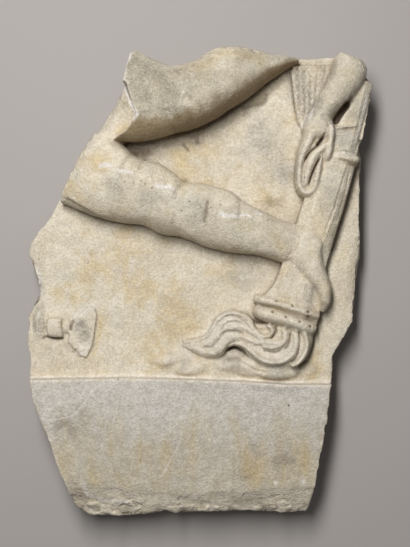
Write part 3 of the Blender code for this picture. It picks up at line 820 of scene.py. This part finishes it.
broken = broken_share(points, normals)
rough = 1.4 * facets(points, 26, 20) + 0.8 * facets(points, 11, 30) + 0.6 * lumps(points, 9, 1)
rough += 0.35 * lumps(points, 4, 2)
calm = 1 - 0.35 * ramp(-245, -255, points[:, 1]) * ramp(0.5, 0.7, normals[:, 2])
points += normals * (broken * (rough * calm + 0.3))[:, None]
carved = (1 - broken) * ramp(3, 8, points[:, 2])
weathered = 0.35 * lumps(points, 34, 4) + 0.26 * lumps(points, 13, 5) + 0.18 * lumps(points, 5, 6)
points += normals * (carved * weathered)[:, None]

soft = relaxed(points, edges, SOFT_ROUNDS)
softer = relaxed(soft, edges, SOFTER_ROUNDS)
write(skin, points)
_, normals = read(skin)
sharp = ((points - softer) * normals).sum(1)
chipped = ramp(0.15, 0.5, lumps(points, 15, 8) + 0.5 * lumps(points, 6, 9)) * ramp(0.25, 0.8, sharp)
worn = ramp(0.1, 0.6, sharp) * 0.6
points += (soft - points) * worn[:, None]
points += (softer - points) * chipped[:, None] * 0.9
# The rock below the flames is worn soft
rocky = ramp(26, 14, line_reach(points[:, :2], [(-70, -108), (0, -112), (60, -118), (160, -116)])[0])
points += (softer - points) * (rocky * ramp(GROUND + 24, GROUND + 16, points[:, 2]) * carved)[:, None]
write(skin, points)
_, normals = read(skin)
points = worked_over(points, normals, ("groove", "hole", "gap"))
low, high = np.array(cad_low) / MM + MIDDLE, np.array(cad_high) / MM + MIDDLE
points = np.clip(points, low + 0.01, high - 0.01)
write(skin, points)

thick = in_scene("thick", skin)
skin.calc_loop_triangles()
if len(skin.loop_triangles) > MOST_TRIANGLES:
    # The back and the sides give up their triangles before the carved face does
    face = (points[:, 2] > GROUND - 6) & (normals[:, 2] > -0.3)
    plain = thick.vertex_groups.new(name="plain")
    for spots, weight in ((~face, 1), (face, 0.6)):
        plain.add(np.flatnonzero(spots).tolist(), weight, "REPLACE")
    lighter = thick.modifiers.new("Lighter", "DECIMATE")
    lighter.ratio = MOST_TRIANGLES / len(skin.loop_triangles)
    lighter.vertex_group = "plain"
stone_mesh = worked(thick)
write(stone_mesh, np.clip(read(stone_mesh)[0], low + 0.01, high - 0.01))
stone_mesh.name = "relief_stone"
stone_mesh.shade_smooth()
stone = in_scene("relief_stone", stone_mesh)

# Wear has marked the stone where it stands out, and shade is painted in where it lies deep, so the mesh carries how
# hollow, sharp or broken each spot is, and where the honey, grey and brown patches and the painted shadows lie.
HONEY_PATCHES = [
    ((-39, -63), 55), ((-58, -80), 50), ((-145, 20), 50), ((-15, 159), 50), ((-65, -7), 50), ((61, -67), 20),
    ((-92, 60), 45), ((-185, -7), 40), ((150, -110), 40), ((90, 120), 30), ((40, 20), 40), ((60, -240), 45),
    ((90, -200), 30), ((-120, 160), 30), ((-160, 130), 25), ((0, 285), 30),
]
GREY_PATCHES = [
    ((-110, 130), 30), ((-60, 112), 30), ((0, 95), 30), ((190, 190), 26), ((140, 250), 26), ((40, -100), 30),
    ((100, -115), 26), ((84, 184), 66), ((112, 148), 40), ((60, 20), 50), ((176, 118), 24), ((212, 226), 24),
]
BROWN_PATCHES = [
    ((-165, -190), 38), ((65, -255), 34), ((20, -262), 24), ((95, 110), 20), ((76, 242), 18), ((60, 230), 12),
    ((17, 209), 8), ((-4, 195), 14), ((205, 130), 18), ((190, 90), 14), ((-165, -278), 30), ((112, -226), 26),
    ((72, -214), 20),
]
AO_CELL = 2
AO_REACH = (4, 7, 12, 20, 32, 50)


def sky_lost(points):
    """How much of the sky the carving around each point hides, from 0 to 1, read from a map of heights."""
    columns = np.ceil((high[:2] - low[:2]) / AO_CELL).astype(int) + 1
    heights = np.zeros(columns)
    cell = ((points[:, :2] - low[:2]) / AO_CELL).astype(int)
    np.maximum.at(heights, (cell[:, 0], cell[:, 1]), points[:, 2])
    for _ in range(2):
        around = [np.roll(heights, shift, axis) for axis in (0, 1) for shift in (-1, 1)]
        heights = np.where(heights == 0, np.max(around, axis=0), heights)
    lost = np.zeros(len(points))
    for turn in range(12):
        way = np.array((cos(turn * pi / 6), sin(turn * pi / 6)))
        slope = np.zeros(len(points))
        for reach in AO_REACH:
            spot = np.clip(((points[:, :2] + way * reach - low[:2]) / AO_CELL).astype(int), 0, columns - 1)
            slope = np.maximum(slope, (heights[spot[:, 0], spot[:, 1]] - points[:, 2]) / reach)
        lost += slope ** 2 / (1 + slope ** 2) / 12
    lowest_near = np.min([np.roll(heights, (i, j), (0, 1)) for i in (-1, 0, 1) for j in (-1, 0, 1)], axis=0)
    overhung = lowest_near[cell[:, 0], cell[:, 1]] - points[:, 2]
    return np.maximum(lost, ramp(6, 14, overhung) * 0.8)


def patches(points, spots, ragged=1.0):
    """Soft round patches with ragged rims."""
    noise = 0.6 * lumps(points, 26, 40) + 0.4 * lumps(points, 11, 41) + 0.25 * lumps(points, 5, 42)
    total = np.full(len(points), -1.0)
    for middle, size in spots:
        total = np.maximum(total, 0.75 - np.hypot(*(points[:, :2] - middle).T) / size)
    return ramp(0.0, 0.9, total + ragged * noise)


points, normals = read(stone_mesh)
bulge = ((points - relaxed(points, edge_pairs(stone_mesh), 4)) * normals).sum(1)
marks = {
    "hollow": sky_lost(points),
    "cleft": ramp(0.05, 0.6, -bulge),
    "arris": ramp(0.05, 0.5, bulge),
    "broken": broken_share(points, normals),
    "honey": patches(points, HONEY_PATCHES),
    "grey": patches(points, GREY_PATCHES, 0.5),
    "stain_and_shade": 0.5 * patches(points, BROWN_PATCHES),
    **{name: np.zeros(len(points)) for name in ("bruise", "patina", "soot_and_shade")},
}
on_band = ramp(BAND_FACE - 3, BAND_FACE - 1.5, points[:, 2]) * ramp(-120, -127, points[:, 1])
on_band *= ramp(0.75, 0.9, normals[:, 2])
marks["grey"] = np.maximum(marks["grey"], 0.6 * on_band)
marks["band"] = on_band * ramp(-130, -230, points[:, 1])
marks["cool"] = on_band * ramp(-250, -170, points[:, 1])
ragged = 0.35 * lumps(points, 12, 43) + 0.25 * lumps(points, 5, 44)
for name, line, width, strength in tints:
    found = near_line(points, line, 3 * width)
    reach, left, along = line_reach(points[found, :2], line)
    share = ramp(1.5, 0.4, reach / width + ragged[found])
    marks[name][found] = np.maximum(marks[name][found], strength * share)
# The underside mark keeps only the sides turned away from the lamp, so it is partly painted shade
marks["soot_and_shade"] *= ramp(0.15, -0.7, normals[:, 1])
marks["patina"] *= ramp(GROUND + 8, GROUND + 20, points[:, 2])
for name in ("hollow", "cleft"):
    marks[name] *= ramp(4, 9, line_reach(points[:, :2], LEDGE)[0])
for name, values in marks.items():
    attribute = stone_mesh.attributes.new(name, "FLOAT", "POINT")
    attribute.data.foreach_set("value", values.astype(np.float32))

# The finish: cream marble with a grey skin where it was handled and rained on, honey patches, brown dirt, brown shade
# painted in the hollows, creases, grooves and cast shadows, and white crystals where the surface is fresh.
CREAM = (0.80, 0.71, 0.56)
PALE_CREAM = (0.88, 0.80, 0.65)
HONEY = (0.76, 0.61, 0.36)
OCHRE = (0.66, 0.51, 0.25)
GREY = (0.60, 0.56, 0.49)
COOL = (0.64, 0.64, 0.62)
PALE_COOL = (0.76, 0.74, 0.72)
DULL_CLOUD = (0.89, 0.88, 0.86)
DULL_PATCH = (0.86, 0.85, 0.83)
DULL_GRAIN = (0.80, 0.79, 0.77)
BREAK = (0.86, 0.78, 0.65)
PAINTED_SHADE = (0.16, 0.10, 0.05)
STAIN_AND_SHADE = (0.20, 0.145, 0.09)
SOOT_AND_SHADE = (0.30, 0.21, 0.10)
PATINA = (0.43, 0.39, 0.30)
BRUISE = (0.92, 0.87, 0.81)


def linked(tree, kind, sources, **settings):
    """A node with its inputs joined to sockets or set to numbers."""
    node = tree.nodes.new(kind)
    for name, value in settings.items():
        setattr(node, name, value)
    for name, source in sources.items():
        if isinstance(source, bpy.types.NodeSocket):
            tree.links.new(source, node.inputs[name])
        else:
            node.inputs[name].default_value = source
    return node


def patchy_group():
    """Noise cut to a mask: the size of its lumps, and the two noise levels between which the mask rises."""
    group = bpy.data.node_groups.new("Patchy", "ShaderNodeTree")
    group.interface.new_socket("Vector", in_out="INPUT", socket_type="NodeSocketVector")
    for name in ("Scale", "Detail", "Low", "High"):
        group.interface.new_socket(name, in_out="INPUT", socket_type="NodeSocketFloat")
    group.interface.new_socket("Mask", in_out="OUTPUT", socket_type="NodeSocketFloat")
    given = group.nodes.new("NodeGroupInput").outputs
    noise = linked(group, "ShaderNodeTexNoise", {name: given[name] for name in ("Vector", "Scale", "Detail")})
    mask = linked(group, "ShaderNodeMapRange", {"Value": noise.outputs["Fac"], "From Min": given["Low"],
                                                "From Max": given["High"]}, interpolation_type="SMOOTHSTEP")
    linked(group, "NodeGroupOutput", {"Mask": mask.outputs["Result"]})
    return group


marble = bpy.data.materials.new("Weathered marble")
marble.use_nodes = True
tree = marble.node_tree
shader = tree.nodes["Principled BSDF"]
place = tree.nodes.new("ShaderNodeTexCoord").outputs["Object"]
patchy = patchy_group()


def noise_mask(scale, low, high, detail=3.0, source=place):
    return linked(tree, "ShaderNodeGroup", {"Vector": source, "Scale": scale, "Detail": detail, "Low": low,
                                            "High": high}, node_tree=patchy).outputs["Mask"]


def mark(name):
    return linked(tree, "ShaderNodeAttribute", {}, attribute_name=name).outputs["Fac"]


def maths(operation, first, second):
    return linked(tree, "ShaderNodeMath", {0: first, 1: second}, operation=operation, use_clamp=True).outputs[0]


def over(below, above, share, strength=None, mode="MIX"):
    """One colour laid over another by a share, which a strength may cut down."""
    if strength is not None:
        share = maths("MULTIPLY", share, strength)
    node = linked(tree, "ShaderNodeMix", {}, data_type="RGBA", blend_type=mode)
    for socket, source in ((node.inputs[6], below), (node.inputs[7], above), (node.inputs[0], share)):
        if isinstance(source, bpy.types.NodeSocket):
            tree.links.new(source, socket)
        else:
            socket.default_value = (*source, 1) if isinstance(source, tuple) else source
    return node.outputs[2]


squeezed = linked(tree, "ShaderNodeVectorMath", {0: place, 1: (1.0, 0.3, 1.0)}, operation="MULTIPLY")
streaks = maths("MULTIPLY", mark("band"), noise_mask(48, 0.40, 0.78, 5.0, squeezed.outputs["Vector"]))
skinned = maths("MAXIMUM", mark("grey"), mark("patina"))
crystals = maths("MULTIPLY", skinned, noise_mask(430, 0.57, 0.75, 2.0))
# Painted shade where the carving hides the sky
sky_shade = linked(tree, "ShaderNodeMapRange", {"Value": mark("hollow"), "From Min": 0.45, "From Max": 0.9,
                                             "To Max": 0.5}).outputs["Result"]
colour = CREAM
# The layers from the bottom up, each a colour, its mask and a strength that cuts the mask down
for layer in (
        (PALE_CREAM, noise_mask(14, 0.35, 0.65)),
        (HONEY, noise_mask(22, 0.5, 0.8), 0.35),
        (HONEY, mark("honey"), 0.75),
        (GREY, noise_mask(30, 0.5, 0.75), 0.25),
        (GREY, mark("grey"), 0.75),
        # Ochre and cool grey clouds, and ochre streaks that run down the lower half of the band
        (OCHRE, noise_mask(34, 0.52, 0.78, 4.0), 0.45),
        (COOL, noise_mask(40, 0.52, 0.76, 4.0), 0.25),
        (PALE_COOL, mark("cool"), 0.6),
        (PATINA, mark("band"), 0.25),
        (OCHRE, streaks, 0.7),
        # Handled and rained-on skin has a coarser grain, with white crystals showing in it
        (PATINA, mark("patina"), noise_mask(45, 0.05, 0.55, 4.0)),
        (DULL_GRAIN, skinned, noise_mask(330, 0.38, 0.62), "MULTIPLY"),
        (BREAK, crystals, 0.6),
        (BREAK, mark("broken"), 0.55),
        (BREAK, mark("arris"), noise_mask(120, 0.35, 0.6)),
        # Brown dirt together with painted shade and shadows, and on the undersides brown dirt with painted shade
        (STAIN_AND_SHADE, mark("stain_and_shade"), 0.8),
        (SOOT_AND_SHADE, mark("soot_and_shade"), 0.85),
        # Painted shade in the hollows and the creases
        (PAINTED_SHADE, sky_shade),
        (PAINTED_SHADE, mark("cleft"), 0.25),
        (BRUISE, mark("bruise")),
        # Crystals, pits and grain, from chips of several millimetres down to single grains
        (BRUISE, noise_mask(230, 0.68, 0.76, 2.0), 0.6),
        (STAIN_AND_SHADE, noise_mask(200, 0.70, 0.78, 2.0), 0.6),
        (BRUISE, noise_mask(620, 0.58, 0.72, 2.0), 0.3),
        (STAIN_AND_SHADE, noise_mask(540, 0.60, 0.72, 2.0), 0.35),
        (DULL_CLOUD, noise_mask(85, 0.35, 0.65, 4.0), None, "MULTIPLY"),
        (DULL_PATCH, noise_mask(260, 0.35, 0.65), None, "MULTIPLY"),
        (DULL_GRAIN, noise_mask(760, 0.32, 0.68), None, "MULTIPLY")):
    colour = over(colour, *layer)
tree.links.new(colour, shader.inputs["Base Color"])
grain = linked(tree, "ShaderNodeTexNoise", {"Vector": place, "Scale": 420.0, "Detail": 5.0}).outputs["Fac"]
bump = linked(tree, "ShaderNodeBump", {"Height": grain, "Strength": 0.85, "Distance": 0.0018})
tree.links.new(bump.outputs["Normal"], shader.inputs["Normal"])
rough_mask = linked(tree, "ShaderNodeMapRange", {"Value": grain, "To Min": 0.62, "To Max": 0.9})
tree.links.new(rough_mask.outputs["Result"], shader.inputs["Roughness"])

stone_mesh.materials.append(marble)
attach(stone, "root")
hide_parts("relief_fragment")

# The plain pale floor that it lies on, one long soft light from the upper left with a little light from all
# around, and the camera straight above.
CAMERA = (8, 15 - MIDDLE[1], 1565)
LENS = 74.2
LAMP_PLACE = Vector((-0.25, 0.6, 1.6))
LAMP_SIDES = (0.26, 1.0)
LAMP_POWER = 29
LIGHT_AROUND = 0.12
FLOOR_COLOUR = (0.40, 0.372, 0.352, 1)
floor_form = bmesh.new()
bmesh.ops.create_grid(floor_form, x_segments=1, y_segments=1, size=3.0)
floor = stood_up(floor_form, "floor")
floor_paint = bpy.data.materials.new("Pale floor")
floor_paint.use_nodes = True
paint = floor_paint.node_tree.nodes["Principled BSDF"].inputs
paint["Base Color"].default_value = FLOOR_COLOUR
paint["Roughness"].default_value = 0.8
floor.data.materials.append(floor_paint)

lamp = bpy.data.lights.new("long_soft_light", "AREA")
lamp.shape = "RECTANGLE"
lamp.size, lamp.size_y = LAMP_SIDES
lamp.energy = LAMP_POWER
across = Vector((0, 1, 0)).cross(LAMP_PLACE).normalized()
turned = Matrix((across, LAMP_PLACE.cross(across).normalized(), LAMP_PLACE.normalized())).transposed()
in_scene("long_soft_light", lamp).matrix_world = Matrix.Translation(LAMP_PLACE) @ turned.to_4x4()
surroundings = bpy.data.worlds.new("Soft surroundings")
surroundings.use_nodes = True
background = surroundings.node_tree.nodes["Background"].inputs
background["Color"].default_value = (1, 1, 1, 1)
background["Strength"].default_value = LIGHT_AROUND
bpy.context.scene.world = surroundings

camera = bpy.data.cameras.new("camera")
camera.lens = LENS
bpy.context.scene.camera = in_scene("camera", camera)
bpy.context.scene.camera.location = Vector(CAMERA) * MM
bpy.context.scene.view_settings.view_transform = "Standard"
